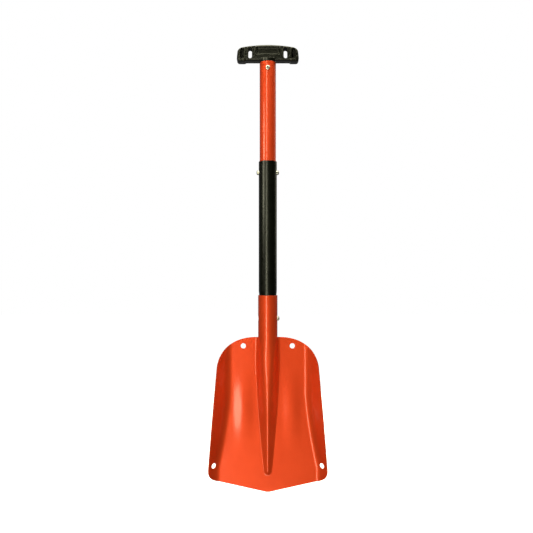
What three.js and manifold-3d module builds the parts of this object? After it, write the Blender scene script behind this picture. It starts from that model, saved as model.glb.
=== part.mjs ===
// A three-piece aluminium avalanche shovel in millimetres, standing upright as it is held to dig.
// +Z runs up the shaft, -Y is the side that the blade scoops with, and X is across the blade.
// The origin is on the shaft's axis, at the middle of the black middle tube.
import * as THREE from "three";
import { mergeVertices } from "three/addons/utils/BufferGeometryUtils.js";
import Module from "manifold-3d";

const wasm = await Module();
wasm.setup();

// Shaft: three tubes, each a sliding fit in the next
const ROUND = 48; // sides of a round tube
const MIDDLE_TOP = 123; // the middle tube's visible length is twice this
const MIDDLE_R = 16.7;
const MIDDLE_BORE = 15.2;
const UPPER_R = 15;
const UPPER_BORE = 13.7;
const UPPER_TOP = MIDDLE_TOP + 182.3; // the visible length of the upper tube above it
const UPPER_INSERTED = 56; // stays inside the middle tube when the shaft is long
const NECK_R = 15.95; // the middle tube's swaged lower end
const NECK_BORE = 14.45;
const NECK_LENGTH = 69;
const SHOULDER = 8; // height over which the tube narrows to its neck
const SOCKET_R = 17.9;
const SOCKET_BORE = 16.2;
const SOCKET_TOP = -MIDDLE_TOP - 0.5;

// Snap buttons
const BUTTON_R = 4;
const BUTTON_HOLE_R = 4.5;
const BUTTON_PROUD = 4; // how far a button stands out of the outermost tube
const UPPER_BUTTON_Z = MIDDLE_TOP - 20.3;
const LOWER_BUTTON_Z = SOCKET_TOP - 42.8;
const STRIP = 0.9; // thickness of the spring steel
const STRIP_WIDTH = 8;
const GAP = 0.3; // air between pieces that touch

// Blade
const SHEET = 1.8;
const BLADE_TOP = -201;
const BLADE_TIP = -479;
const CORNER_Z = -436; // height of the widest point, above the bottom corner
const CORNER_X = 107.6;
const SHOULDER_FROM = 20; // half width of the straight top
const SHOULDER_X = 91.6; // half width where the shoulder curve ends
const SHOULDER_Z = -254;
const EDGE_SLOPE = 0.212; // rise of the shallow V at the digging edge
const CORNER_TURN = 14; // width that a bottom corner's curve takes
const TIP_TURN = 5; // half width of the softened tip
const BACKSET = 4; // the sheet's top lies this far behind the shaft's axis
const LEAN = 0.07; // slope of the sheet's upper part, the tip being forward
const BEND_FROM = -236; // below this height the sheet curves forward too
const DISH = 8; // what that curve adds at the tip
const RIB_WIDTH = [44, 15]; // at the socket and at the nose
const RIB_NOSE_Z = -442;
const RIB_NOSE_HEIGHT = 3;
const WING_FROM = 66; // half width of the flat middle
const WING_SPREAD = 20; // how much wider the flat middle is at the bottom corners
const WING_BEND = 16; // width over which a wing turns up
const WING_SLOPE = 1.2; // rise over run of a wing beyond its bend
const LASHING_HOLE_R = 4.75;
const UPPER_HOLES = { x: 45.4, z: -217.5 };
const LOWER_HOLES = { x: 97.5, z: -431.5 };

// T handle
const GRIP_HALF = 57;
const GRIP_BOTTOM = UPPER_TOP + 2.1;
const GRIP_HEIGHT = 28.8;
const GRIP_ARCH = 6;
const GRIP_DEPTH = 22;
const GRIP_END = 17; // length of the blocks at the two ends
const WINDOW = { x: 32.6, width: 7, height: 20.5, corner: 3.4, rise: -0.6, depth: 40 };
const POCKET = { x: 47, width: 7.5, height: 19, corner: 2, rise: -1.5, depth: 16 };
const INNER_GROOVE = { x: 25.4, width: 2.4, height: 18, corner: 1.1, rise: 3, depth: 3 };
const OUTER_GROOVE = { x: 39.9, width: 2.4, height: 18, corner: 1.1, rise: 2, depth: 3 };
const PANEL = { x: 0, width: 44, height: 14.5, corner: 4, rise: 3, depth: 2.4 };
const STEM_WALL = 3.4;
const RIVET_Z = UPPER_TOP - 13;
const RIVET_HEAD_R = 4;
const RIVET_HOLE_R = 2.7;

const painted = { roughness: 0.35, metalness: 0.3 };
const FINISHES = {
  orange_paint: { color: 0xe44b26, ...painted },
  black_coat: { color: 0x23261b, roughness: 0.5, metalness: 0.1 },
  black_plastic: { color: 0x1a1c15, roughness: 0.55, metalness: 0 },
  bright_steel: { color: 0xd0d0cc, roughness: 0.25, metalness: 1 },
  dark_steel: { color: 0x55565a, roughness: 0.45, metalness: 1 },
};

const shovel = new THREE.Group();
shovel.name = "avalanche_shovel";

function add(name, geometry, finish) {
  const mesh = new THREE.Mesh(geometry, new THREE.MeshStandardMaterial(FINISHES[finish]));
  mesh.name = name;
  shovel.add(mesh);
}

// ---- shared shape helpers ----

const lerp = (a, b, t) => a + (b - a) * t;
const clamp01 = (t) => Math.min(1, Math.max(0, t));

// Evenly spaced values from a up to, but not including, b.
function steps(a, b, count) {
  return Array.from({ length: count }, (_, i) => lerp(a, b, i / count));
}

function solid(geometry) {
  const plain = geometry.clone();
  plain.deleteAttribute("normal");
  plain.deleteAttribute("uv");
  const merged = mergeVertices(plain, 1e-4);
  return new wasm.Manifold(
    new wasm.Mesh({
      numProp: 3,
      vertProperties: new Float32Array(merged.attributes.position.array),
      triVerts: new Uint32Array(merged.index.array),
    }),
  );
}

function geometryOf(made) {
  const mesh = made.getMesh();
  const geometry = new THREE.BufferGeometry();
  geometry.setAttribute("position", new THREE.BufferAttribute(mesh.vertProperties, 3));
  geometry.setIndex(new THREE.BufferAttribute(mesh.triVerts, 1));
  geometry.computeVertexNormals();
  return geometry;
}

const without = (base, ...tools) => tools.reduce((left, tool) => left.subtract(solid(tool)), base);

// A body turned about Z from [radius, height] pairs that run from bottom to top on the outside.
// A profile that doesn't start on the axis closes on itself.
function turned(profile, sides = ROUND) {
  const points = profile.map(([r, z]) => new THREE.Vector2(r, z));
  if (points[0].x > 0) points.push(points[0].clone());
  return new THREE.LatheGeometry(points, sides).rotateX(Math.PI / 2);
}

// The same body lying along X or Y, its profile's heights becoming distances from the shaft's axis.
const alongX = (geometry, side) => geometry.rotateY((side * Math.PI) / 2);
const alongFront = (geometry) => geometry.rotateX(Math.PI / 2);

function rod(radius, from, to, sides = 32) {
  return turned([[0, from], [radius, from], [radius, to], [0, to]], sides);
}

// Points of a quarter circle from angle a to b, in degrees, about [x, y].
function arc(x, y, radius, a, b, count) {
  return Array.from({ length: count + 1 }, (_, i) => {
    const angle = THREE.MathUtils.degToRad(lerp(a, b, i / count));
    return [x + radius * Math.cos(angle), y + radius * Math.sin(angle)];
  });
}

// A front outline from its right half, drawn from the top centre round to the bottom centre.
function mirrored(half) {
  const right = half.getPoints(5);
  const left = right.filter(({ x }) => x > 0).map(({ x, y }) => new THREE.Vector2(-x, y));
  return new THREE.Shape([...right, ...left.reverse()]);
}

// A front outline in X and Z given a depth, centred on the shaft's axis unless moved by y.
function slab(shape, depth, y = 0, bevel = 0) {
  const flat = depth - 2 * bevel;
  const options = { depth: flat, curveSegments: 5, bevelEnabled: bevel > 0 };
  const rounding = { bevelThickness: bevel, bevelSize: bevel, bevelOffset: -bevel, bevelSegments: 3 };
  const geometry = new THREE.ExtrudeGeometry(shape, { ...options, ...rounding });
  return geometry.translate(0, 0, -flat / 2).rotateX(Math.PI / 2).translate(0, y, 0);
}

function roundedBox(x, z, width, height, radius) {
  const [w, h] = [width / 2, height / 2];
  const shape = new THREE.Shape();
  shape.absarc(x + w - radius, z + h - radius, radius, 0, Math.PI / 2);
  shape.absarc(x - w + radius, z + h - radius, radius, Math.PI / 2, Math.PI);
  shape.absarc(x - w + radius, z - h + radius, radius, Math.PI, 1.5 * Math.PI);
  shape.absarc(x + w - radius, z - h + radius, radius, 1.5 * Math.PI, 2 * Math.PI);
  return shape;
}

// ---- tubes ----

function upperTube() {
  const bottom = MIDDLE_TOP - UPPER_INSERTED;
  const tube = turned([
    [UPPER_BORE, bottom],
    [UPPER_R - 0.4, bottom],
    [UPPER_R, bottom + 0.8],
    [UPPER_R, UPPER_TOP - 0.3],
    [UPPER_R - 0.3, UPPER_TOP],
    [UPPER_BORE, UPPER_TOP],
  ]);
  const buttonHole = () => rod(BUTTON_HOLE_R, UPPER_BORE - 5, UPPER_R + 5);
  const rivetHole = alongFront(rod(RIVET_HOLE_R, UPPER_BORE - 5, UPPER_R + 5, 24));
  const cut = without(
    solid(tube),
    alongX(buttonHole(), 1).translate(0, 0, UPPER_BUTTON_Z),
    alongX(buttonHole(), -1).translate(0, 0, UPPER_BUTTON_Z),
    rivetHole.translate(0, 0, RIVET_Z),
  );
  add("upper_tube", geometryOf(cut), "orange_paint");
}

function middleTube() {
  const neckTop = -MIDDLE_TOP;
  const neckEnd = neckTop - NECK_LENGTH;
  const shoulderTop = neckTop + SHOULDER;
  const shoulder = Array.from({ length: 6 }, (_, i) => {
    const fall = 1 - Math.cos((Math.PI / 2) * (1 - i / 5));
    return [lerp(MIDDLE_R, NECK_R, fall), lerp(neckTop, shoulderTop, i / 5)];
  });
  const tube = turned([
    [NECK_BORE, neckEnd],
    [NECK_R - 0.5, neckEnd],
    [NECK_R, neckEnd + 1],
    ...shoulder,
    ...arc(MIDDLE_R - 0.9, MIDDLE_TOP - 0.9, 0.9, 0, 90, 3),
    [MIDDLE_BORE, MIDDLE_TOP],
    [MIDDLE_BORE, shoulderTop],
    [NECK_BORE, neckTop],
  ]);
  const buttonHole = () => rod(BUTTON_HOLE_R, NECK_BORE - 5, MIDDLE_R + 5);
  const cut = without(
    solid(tube),
    alongX(buttonHole(), 1).translate(0, 0, UPPER_BUTTON_Z),
    alongX(buttonHole(), -1).translate(0, 0, UPPER_BUTTON_Z),
    alongX(buttonHole(), 1).translate(0, 0, LOWER_BUTTON_Z),
  );
  add("middle_tube", geometryOf(cut), "black_coat");
}

// ---- snap buttons and their springs ----

// A domed pin with a small foot that the spring pushes on, from x = foot to x = tip.
function snapButton(name, foot, tip, side, z) {
  const dome = 1.6;
  const pin = turned(
    [
      [0, foot],
      [BUTTON_R + 0.7, foot],
      [BUTTON_R + 0.7, foot + 0.8],
      [BUTTON_R, foot + 0.9],
      ...Array.from({ length: 5 }, (_, i) => {
        const turn = (Math.PI / 2) * (i / 4);
        return [BUTTON_R * Math.cos(turn), tip - dome + dome * Math.sin(turn)];
      }),
    ],
    24,
  );
  add(name, alongX(pin, side).translate(0, 0, z), "bright_steel");
}

// A strip of steel that follows a path in X and Z, with the given thickness about it.
function strip(path, thickness) {
  const sides = [1, -1].map((side) =>
    path.map(([x, z], i) => {
      const before = path[Math.max(0, i - 1)];
      const after = path[Math.min(path.length - 1, i + 1)];
      const along = new THREE.Vector2(after[0] - before[0], after[1] - before[1]).normalize();
      const reach = (side * thickness) / 2;
      return new THREE.Vector2(x - along.y * reach, z + along.x * reach);
    }),
  );
  return new THREE.Shape([...sides[0], ...sides[1].reverse()]);
}

// A hairpin: two legs that hang from a bend, their outer faces at x = -left and x = right by the button.
function hairpin(name, left, right, buttonZ) {
  const legEnd = buttonZ - 8;
  const legTop = buttonZ + 8;
  const bend = { z: buttonZ + 30, radius: 7.5 };
  const path = [
    [-left + STRIP / 2, legEnd],
    [-left + STRIP / 2, legTop],
    ...arc(0, bend.z, bend.radius, 180, 0, 12),
    [right - STRIP / 2, legTop],
    [right - STRIP / 2, legEnd],
  ];
  add(name, slab(strip(path, STRIP), STRIP_WIDTH), "dark_steel");
}

function upperLock() {
  const foot = 11.4;
  const tip = MIDDLE_R + BUTTON_PROUD;
  snapButton("upper_button_left", foot, tip, -1, UPPER_BUTTON_Z);
  snapButton("upper_button_right", foot, tip, 1, UPPER_BUTTON_Z);
  hairpin("upper_clip_spring", foot - GAP, foot - GAP, UPPER_BUTTON_Z);
}

function lowerLock() {
  const foot = 11.8;
  const restingLeg = 13;
  snapButton("lower_button", foot, SOCKET_R + BUTTON_PROUD - 0.3, 1, LOWER_BUTTON_Z);
  hairpin("lower_clip_spring", restingLeg, foot - GAP, LOWER_BUTTON_Z);
}

// ---- blade ----

// How far down the rib a height is, 0 at the blade's top and 1 at the rib's nose.
const alongRib = (z) => clamp01((BLADE_TOP - z) / (BLADE_TOP - RIB_NOSE_Z));

// The flat middle of the sheet: a plane that leans forward and then curves forward too.
function sheetY(z) {
  const below = Math.max(0, BEND_FROM - z) / (BEND_FROM - BLADE_TIP);
  return BACKSET - LEAN * (BLADE_TOP - z) - DISH * below * below;
}

// Height of the hollow rib in front of the sheet, round like the socket above and sharper below.
function ribHeight(x, z) {
  const t = alongRib(z);
  const width = lerp(...RIB_WIDTH, clamp01((t - 0.2) / 0.8) ** 1.5);
  const past = Math.max(0, RIB_NOSE_Z - z);
  const u = Math.min(1, Math.hypot(x, past) / (width / 2));
  const round = 1 - THREE.MathUtils.smoothstep(u * u, 0, 1);
  const sharp = (1 + Math.cos(Math.PI * u)) / 2;
  const full = SOCKET_R + BACKSET - RIB_NOSE_HEIGHT;
  return (RIB_NOSE_HEIGHT + full * (1 - t) ** 1.15) * lerp(round, sharp, t);
}

// Rise of a wing over the sheet at the side of the blade.
function wingHeight(x, z) {
  const widening = clamp01((-300 - z) / (-300 - CORNER_Z)) ** 1.5;
  const out = Math.abs(x) - (WING_FROM + WING_SPREAD * widening);
  const bend = Math.min(Math.max(0, out), WING_BEND);
  const straight = Math.max(0, out - WING_BEND);
  return WING_SLOPE * (bend ** 2 / (2 * WING_BEND) + straight);
}

const frontY = (x, z) => sheetY(z) - ribHeight(x, z) - wingHeight(x, z);

// Unit vector out of the sheet's front face.
function frontNormal(x, z) {
  const h = 0.2;
  const slopeX = (frontY(x + h, z) - frontY(x - h, z)) / (2 * h);
  const slopeZ = (frontY(x, z + h) - frontY(x, z - h)) / (2 * h);
  return new THREE.Vector3(slopeX, -1, slopeZ).normalize();
}

// The pressed sheet before it is trimmed: a flat box whose two faces are moved to the blade's form.
function pressedSheet() {
  const half = [...steps(0, 24, 8), ...steps(24, 60, 2), ...steps(60, 112, 9), 112];
  const columns = [...half.slice(1).reverse().map((x) => -x), ...half];
  const rows = [...steps(BLADE_TIP - 4, BLADE_TOP + 4, 20), BLADE_TOP + 4];
  const box = new THREE.BoxGeometry(1, 1, 1, columns.length - 1, 1, rows.length - 1);
  const place = box.attributes.position;
  for (let i = 0; i < place.count; i++) {
    const x = columns[Math.round((place.getX(i) + 0.5) * (columns.length - 1))];
    const z = rows[Math.round((place.getZ(i) + 0.5) * (rows.length - 1))];
    const behind = place.getY(i) > 0 ? SHEET : 0;
    const normal = frontNormal(x, z).multiplyScalar(-behind);
    place.setXYZ(i, x + normal.x, frontY(x, z) + normal.y, z + normal.z);
  }
  return solid(box);
}

function bladeOutline() {
  const edgeAt = (x) => BLADE_TIP + EDGE_SLOPE * x;
  const turnX = CORNER_X - CORNER_TURN;
  const tipZ = edgeAt(TIP_TURN / 2);
  const half = new THREE.Path();
  half.moveTo(0, BLADE_TOP);
  half.lineTo(SHOULDER_FROM, BLADE_TOP);
  half.bezierCurveTo(62, BLADE_TOP, 88.5, BLADE_TOP - 21, SHOULDER_X, SHOULDER_Z);
  half.lineTo(CORNER_X, CORNER_Z);
  half.bezierCurveTo(CORNER_X + 0.8, CORNER_Z - 9, CORNER_X - 3, edgeAt(CORNER_X) + 1, turnX, edgeAt(turnX));
  half.lineTo(TIP_TURN, edgeAt(TIP_TURN));
  half.quadraticCurveTo(TIP_TURN / 2, tipZ, 0, tipZ);
  return mirrored(half);
}

// A drill for a lashing hole, square to the sheet where it stands.
function lashingDrill({ x, z }, side) {
  const out = frontNormal(side * x, z);
  const turn = new THREE.Quaternion().setFromUnitVectors(new THREE.Vector3(0, 0, 1), out);
  const centre = new THREE.Vector3(side * x, frontY(x, z), z);
  return rod(LASHING_HOLE_R, -8, 8, 24).applyQuaternion(turn).translate(...centre);
}

// The socket that the sheet is rolled into: its back ends level with the blade's top.
function socketTube() {
  const bottom = BLADE_TOP - 2;
  return turned([
    [SOCKET_BORE, bottom],
    [SOCKET_R - 0.3, bottom],
    [SOCKET_R - 0.3, BLADE_TOP],
    [SOCKET_R, BLADE_TOP + 1],
    [SOCKET_R, SOCKET_TOP - 0.8],
    [SOCKET_R - 0.5, SOCKET_TOP],
    [SOCKET_BORE, SOCKET_TOP],
  ]);
}

function blade() {
  const sheet = pressedSheet().intersect(solid(slab(bladeOutline(), 160)));
  const drills = [1, -1].flatMap((side) => [
    lashingDrill(UPPER_HOLES, side),
    lashingDrill(LOWER_HOLES, side),
    alongX(rod(BUTTON_HOLE_R, SOCKET_BORE - 5, SOCKET_R + 5), side).translate(0, 0, LOWER_BUTTON_Z),
  ]);
  const bore = rod(SOCKET_BORE, BLADE_TOP + 0.5, SOCKET_TOP + 5, ROUND);
  const pressed = without(sheet.add(solid(socketTube())), bore, ...drills);
  add("blade", geometryOf(pressed), "orange_paint");
}

// ---- T handle ----

function gripOutline() {
  const top = GRIP_BOTTOM + GRIP_HEIGHT;
  const shoulder = top - GRIP_ARCH;
  const foot = GRIP_BOTTOM - 1.5; // the end blocks stand a little lower than the bar
  const inner = GRIP_HALF - GRIP_END;
  const half = new THREE.Path();
  half.moveTo(0, top);
  half.quadraticCurveTo(22, top, GRIP_HALF - 11, shoulder + 2);
  half.quadraticCurveTo(GRIP_HALF - 2, shoulder, GRIP_HALF - 1, shoulder - 7);
  half.lineTo(GRIP_HALF, foot + 6);
  half.quadraticCurveTo(GRIP_HALF, foot, GRIP_HALF - 6, foot);
  half.lineTo(inner + 2, foot);
  half.lineTo(inner, GRIP_BOTTOM);
  half.lineTo(0, GRIP_BOTTOM);
  return mirrored(half);
}

// A recess of the bar as a block to cut with, its heights counted from the bar's middle.
function recess({ x, width, height, corner, rise, depth }, side = 1, y = 0) {
  const middle = GRIP_BOTTOM + GRIP_HEIGHT / 2;
  return slab(roundedBox(side * x, middle + rise, width, height, corner), depth, y);
}

// The hollow stem that plugs into the upper tube, with the collar that its rim meets.
function gripStem() {
  const stemR = UPPER_BORE - GAP;
  const stemBottom = UPPER_TOP - 36;
  const collar = UPPER_TOP + GAP;
  return turned([
    [0, collar - 8],
    [stemR - STEM_WALL, collar - 9],
    [stemR - STEM_WALL, stemBottom],
    [stemR - 0.8, stemBottom],
    [stemR, stemBottom + 1.5],
    [stemR, collar],
    [UPPER_R, collar],
    [UPPER_R + 1.5, GRIP_BOTTOM + 4],
    [0, GRIP_BOTTOM + 4],
  ]);
}

function tHandle() {
  const front = -GRIP_DEPTH / 2;
  const bar = solid(slab(gripOutline(), GRIP_DEPTH, 0, 4));
  const tools = [recess(PANEL, 1, front)];
  for (const side of [1, -1]) {
    tools.push(recess(WINDOW, side));
    for (const face of [front, -front]) {
      tools.push(...[POCKET, INNER_GROOVE, OUTER_GROOVE].map((shape) => recess(shape, side, face)));
    }
  }
  const rivetHole = alongFront(rod(RIVET_HOLE_R, 5, UPPER_R + 5, 24)).translate(0, 0, RIVET_Z);
  const handle = without(bar, ...tools).add(solid(gripStem()));
  add("t_handle", geometryOf(without(handle, rivetHole)), "black_plastic");
}

// ---- blind rivet that holds the stem in the tube ----

function handleRivet() {
  const seat = UPPER_R + 0.2;
  const wallInside = UPPER_BORE - GAP - STEM_WALL;
  const shank = RIVET_HOLE_R - GAP;
  const bore = 1.5;
  const body = turned(
    [
      [bore, wallInside - 3.3],
      [shank + 0.9, wallInside - 2.8],
      [shank + 0.9, wallInside - 1],
      [shank, wallInside - 0.9],
      [shank, seat],
      [RIVET_HEAD_R, seat],
      [RIVET_HEAD_R - 0.2, seat + 0.6],
      [RIVET_HEAD_R - 1.4, seat + 1.3],
      [bore, seat + 1.4],
    ],
    24,
  );
  const pin = bore - 0.25;
  const mandrel = turned(
    [
      [0, wallInside - 6],
      [1.9, wallInside - 5.2],
      [1.9, wallInside - 3.6],
      [pin, wallInside - 3.55],
      [pin, seat + 0.9],
      [0, seat + 0.9],
    ],
    20,
  );
  add("handle_rivet", alongFront(body).translate(0, 0, RIVET_Z), "bright_steel");
  add("handle_rivet_mandrel", alongFront(mandrel).translate(0, 0, RIVET_Z), "dark_steel");
}

upperTube();
middleTube();
upperLock();
lowerLock();
blade();
tHandle();
handleRivet();

export default shovel;
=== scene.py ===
# Avalanche shovel: the looks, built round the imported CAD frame.
# Pieces are drawn in millimetres and turned into metres when their mesh is made. The stage, the lights
# and the camera are in metres.
# X is across the blade, -Y is the side that the blade scoops with, and +Z runs up the shaft.
import math

import bmesh
import bpy
import numpy as np
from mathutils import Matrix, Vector
from mathutils.geometry import delaunay_2d_cdt


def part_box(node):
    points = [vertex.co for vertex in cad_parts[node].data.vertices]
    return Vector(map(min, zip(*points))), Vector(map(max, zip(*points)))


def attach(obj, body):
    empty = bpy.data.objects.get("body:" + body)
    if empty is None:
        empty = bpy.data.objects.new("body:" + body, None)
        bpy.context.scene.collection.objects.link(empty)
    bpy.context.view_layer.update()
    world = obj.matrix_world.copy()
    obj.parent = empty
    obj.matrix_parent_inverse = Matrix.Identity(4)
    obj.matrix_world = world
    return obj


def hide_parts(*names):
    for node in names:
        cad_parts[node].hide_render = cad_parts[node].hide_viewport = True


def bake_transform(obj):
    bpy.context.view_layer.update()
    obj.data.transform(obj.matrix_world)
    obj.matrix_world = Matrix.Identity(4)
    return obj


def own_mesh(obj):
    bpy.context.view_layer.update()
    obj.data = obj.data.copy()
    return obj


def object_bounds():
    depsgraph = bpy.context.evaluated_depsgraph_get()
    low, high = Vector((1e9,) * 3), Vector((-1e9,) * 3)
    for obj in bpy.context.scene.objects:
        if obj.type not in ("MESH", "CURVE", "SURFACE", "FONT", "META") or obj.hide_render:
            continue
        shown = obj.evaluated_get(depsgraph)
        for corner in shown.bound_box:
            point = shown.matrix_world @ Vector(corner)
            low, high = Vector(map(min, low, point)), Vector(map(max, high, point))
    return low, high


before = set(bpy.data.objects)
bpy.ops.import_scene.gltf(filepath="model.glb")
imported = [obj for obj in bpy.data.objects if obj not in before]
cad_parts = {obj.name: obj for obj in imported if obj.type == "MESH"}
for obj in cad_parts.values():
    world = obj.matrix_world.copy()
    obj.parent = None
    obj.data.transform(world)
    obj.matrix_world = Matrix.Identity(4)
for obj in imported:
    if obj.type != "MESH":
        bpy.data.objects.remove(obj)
cad_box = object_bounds()
MM = 0.001


def corners(node):
    """A CAD node's lowest and highest corner, in millimetres."""
    low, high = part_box(node)
    return Vector(low) / MM, Vector(high) / MM


def middle(node):
    low, high = corners(node)
    return (low + high) / 2


upper_low, upper_high = corners("upper_tube")
middle_low, middle_high = corners("middle_tube")
blade_high = corners("blade")[1]
handle_low, handle_high = corners("t_handle")

# Shaft
UPPER_R = upper_high.x
UPPER_WALL = 1.3
MIDDLE_R = middle_high.x
MIDDLE_WALL = 1.5
NECK_R = MIDDLE_R - 0.75  # the middle tube's swaged lower end
NECK_TOP = -middle_high.z
SHOULDER = 8  # height over which the tube narrows to its neck
SOCKET_R = blade_high.y
SOCKET_TOP = blade_high.z
BUTTON_HOLE_R = 4.5
RIVET_HOLE_R = 2.7
STRIP = 0.9  # thickness of the clips' spring steel
STRIP_WIDTH = 8
UPPER_BUTTON_Z = middle("upper_button_left").z
LOWER_BUTTON_Z = middle("lower_button").z
RIVET_Z = middle("handle_rivet").z

# Blade, all of it one sheet that is rolled into the socket at its top
SHEET = 1.7
BLADE_TOP = SOCKET_TOP - 77.5
BLADE_TIP = BLADE_TOP - 277.8
CORNER_X = blade_high.x - 1.25  # of its front face, the back one reaching further out
CORNER_Z = BLADE_TIP + 43
SHOULDER_X = CORNER_X - 14.5
SHOULDER_Z = BLADE_TOP - 53
BACKSET = 4  # the sheet's top lies this far behind the shaft's axis
RIB_FOOT = SOCKET_R + BACKSET  # half width of the rib at its top
LEAN = 0.07  # slope of the sheet's upper part, the tip being forward
BEND_FROM = BLADE_TOP - 35  # below this height the sheet curves forward too
DISH = 8  # what that curve adds at the tip
RIB_WIDTH = (2 * RIB_FOOT, 15)  # at the socket and at the nose
RIB_NOSE_Z = BLADE_TIP + 37
RIB_NOSE_HEIGHT = 3
RIDGE_ROUNDING = 0.004  # how softly the rib's ridge runs out into the sheet
WING_FROM = 66  # half width of the flat middle
WING_SPREAD = 20  # how much wider the flat middle is at the bottom corners
WING_SPREAD_FROM = BLADE_TOP - 99
WING_BEND = 16  # width over which a wing turns up
WING_SLOPE = 1.2  # rise over run of a wing beyond its bend
SWELL = 1.6  # height of the sheet's bulge on each side of the rib
SWELL_FROM = 22  # half width at which the bulge starts
SWELL_LOW = BLADE_TIP + 60
SWELL_HIGH = BLADE_TOP - 40
SWELL_FADE = 100
EDGE_SLOPE = 0.212  # rise of the shallow V at the digging edge
CORNER_TURN = 14  # width that a bottom corner's curve takes
TIP_TURN = 5  # half width of the softened tip
LASHING_HOLE_R = 4.75
BLADE_TRAVEL = 90  # how far the blade slides down off the shaft
LASHING_HOLES = ((45.4, BLADE_TOP - 16.5), (97.5, CORNER_Z + 4.5))
SIDE = SOCKET_R * math.pi / 2  # unrolled width from the socket's front line to its side
SEAM = 2 * SIDE - 0.12  # unrolled width from its front line to the seam at its back
FILLET = BACKSET * math.pi / 2  # unrolled width of the curve from the socket's side into the sheet
SLIT = 1.2  # between the shoulders' top edge and the rolled part

# T handle
GRIP_HALF = handle_high.x
GRIP_TOP = handle_high.z
GRIP_BOTTOM = GRIP_TOP - 28.8
GRIP_MIDDLE = (GRIP_TOP + GRIP_BOTTOM) / 2
GRIP_DEPTH = 22
GRIP_FACE = GRIP_DEPTH / 2  # from the shaft's axis to the grip's front or back
GRIP_ROUNDING = 4
GRIP_END = 17  # length of the blocks at the two ends
STEM_R = UPPER_R - UPPER_WALL - 0.3
STEM_WALL = 3.4
COLLAR_Z = upper_high.z + 0.3
WINDOW_X = 32.6  # the slot right through each arm of the T
POCKET_X = 47  # the blind slot further out
VALLEY_XS = (25.9, 39.9, 53.2)  # the grooves between the tiles of the grip's faces
PANEL_Z = GRIP_MIDDLE + 3
THROUGH = 20  # further out than any face of the grip


# ---- small helpers ----


def smoothstep(t):
    t = np.clip(t, 0, 1)
    return t * t * (3 - 2 * t)


def lerp(a, b, t):
    return a + (b - a) * t


def bezier(a, b, c, d, count):
    """Points of a cubic curve from a to d, without a."""
    a, b, c, d = (np.array(p, float) for p in (a, b, c, d))
    out = []
    for i in range(1, count + 1):
        t = i / count
        out.append((1 - t) ** 3 * a + 3 * t * (1 - t) ** 2 * b + 3 * t * t * (1 - t) * c + t**3 * d)
    return out


def line(a, b, spacing):
    """Evenly spaced points from a to b, without a."""
    a, b = np.array(a, float), np.array(b, float)
    count = max(1, round(float(np.linalg.norm(b - a)) / spacing))
    return [lerp(a, b, i / count) for i in range(1, count + 1)]


def arc(centre, radius, start, end, count):
    """Points of a circle's arc between two angles in degrees, without the first."""
    out = []
    for i in range(1, count + 1):
        angle = math.radians(lerp(start, end, i / count))
        reach = (radius * math.cos(angle), radius * math.sin(angle))
        out.append(np.array((centre[0] + reach[0], centre[1] + reach[1])))
    return out


def rounded_rectangle(centre, width, height, corner, steps):
    """An anticlockwise outline whose corners have the given radius and number of steps."""
    points = []
    for x, y, start in ((1, 1, 0), (-1, 1, 90), (-1, -1, 180), (1, -1, 270)):
        turn = (centre[0] + x * (width / 2 - corner), centre[1] + y * (height / 2 - corner))
        points += arc(turn, corner, start - 90 / steps, start + 90, steps + 1)
    return points


def solid(name, points, faces, material, normals=None, edge=None):
    """A smooth mesh object from points in millimetres, with its normals and worn-edge mask if given."""
    mesh = bpy.data.meshes.new(name)
    mesh.from_pydata([Vector(p) * MM for p in points], [], faces)
    mesh.polygons.foreach_set("use_smooth", [True] * len(mesh.polygons))
    if edge is not None:
        mesh.attributes.new("edge", "FLOAT", "POINT").data.foreach_set("value", edge)
    if normals is not None:
        mesh.normals_split_custom_set_from_vertices([tuple(n) for n in normals])
    piece = bpy.data.objects.new(name, mesh)
    bpy.context.scene.collection.objects.link(piece)
    piece.data.materials.append(material)
    return piece


def face_out(piece):
    """Turns all the faces of a closed piece outwards."""
    made = bmesh.new()
    made.from_mesh(piece.data)
    bmesh.ops.recalc_face_normals(made, faces=made.faces)
    made.to_mesh(piece.data)
    made.free()


def sharpen(piece, degrees):
    """Keeps the edges that bend by more than this sharp."""
    piece.data.set_sharp_from_angle(angle=math.radians(degrees))
    return piece


# ---- sheet metal: a flat pattern with holes, given a thickness and rolled or pressed to its form ----


def placed(form, flat, behind):
    """Points behind a form's surface by the given depths, and the surface's outward normals there."""
    step = 0.04
    s, z = flat[:, 0], flat[:, 1]
    along_s = form(s + step, z) - form(s - step, z)
    along_z = form(s, z + step) - form(s, z - step)
    normal = np.cross(along_s, along_z)
    normal /= np.linalg.norm(normal, axis=1)[:, None]
    return form(s, z) - normal * np.broadcast_to(behind, s.shape)[:, None], normal


def inward(points, closed):
    """Unit mitres at each point of an anticlockwise line, towards its left."""
    before = np.roll(points, 1, axis=0)
    after = np.roll(points, -1, axis=0)
    if not closed:
        before[0] = 2 * points[0] - points[1]
        after[-1] = 2 * points[-1] - points[-2]
    first = points - before
    second = after - points
    first /= np.linalg.norm(first, axis=1)[:, None]
    second /= np.linalg.norm(second, axis=1)[:, None]
    left = np.stack([-first[:, 1] - second[:, 1], first[:, 0] + second[:, 0]], axis=1)
    share = 1 + (first * second).sum(1)
    return left / np.maximum(share, 0.3)[:, None]


def inside(points, loop):
    """Which points lie inside a closed loop."""
    x, y = points[:, 0], points[:, 1]
    found = np.zeros(len(points), bool)
    for a, b in zip(loop, np.roll(loop, -1, axis=0)):
        if a[1] != b[1]:
            crosses = (a[1] > y) != (b[1] > y)
            found ^= crosses & (x < (b[0] - a[0]) * (y - a[1]) / (b[1] - a[1]) + a[0])
    return found


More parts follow.
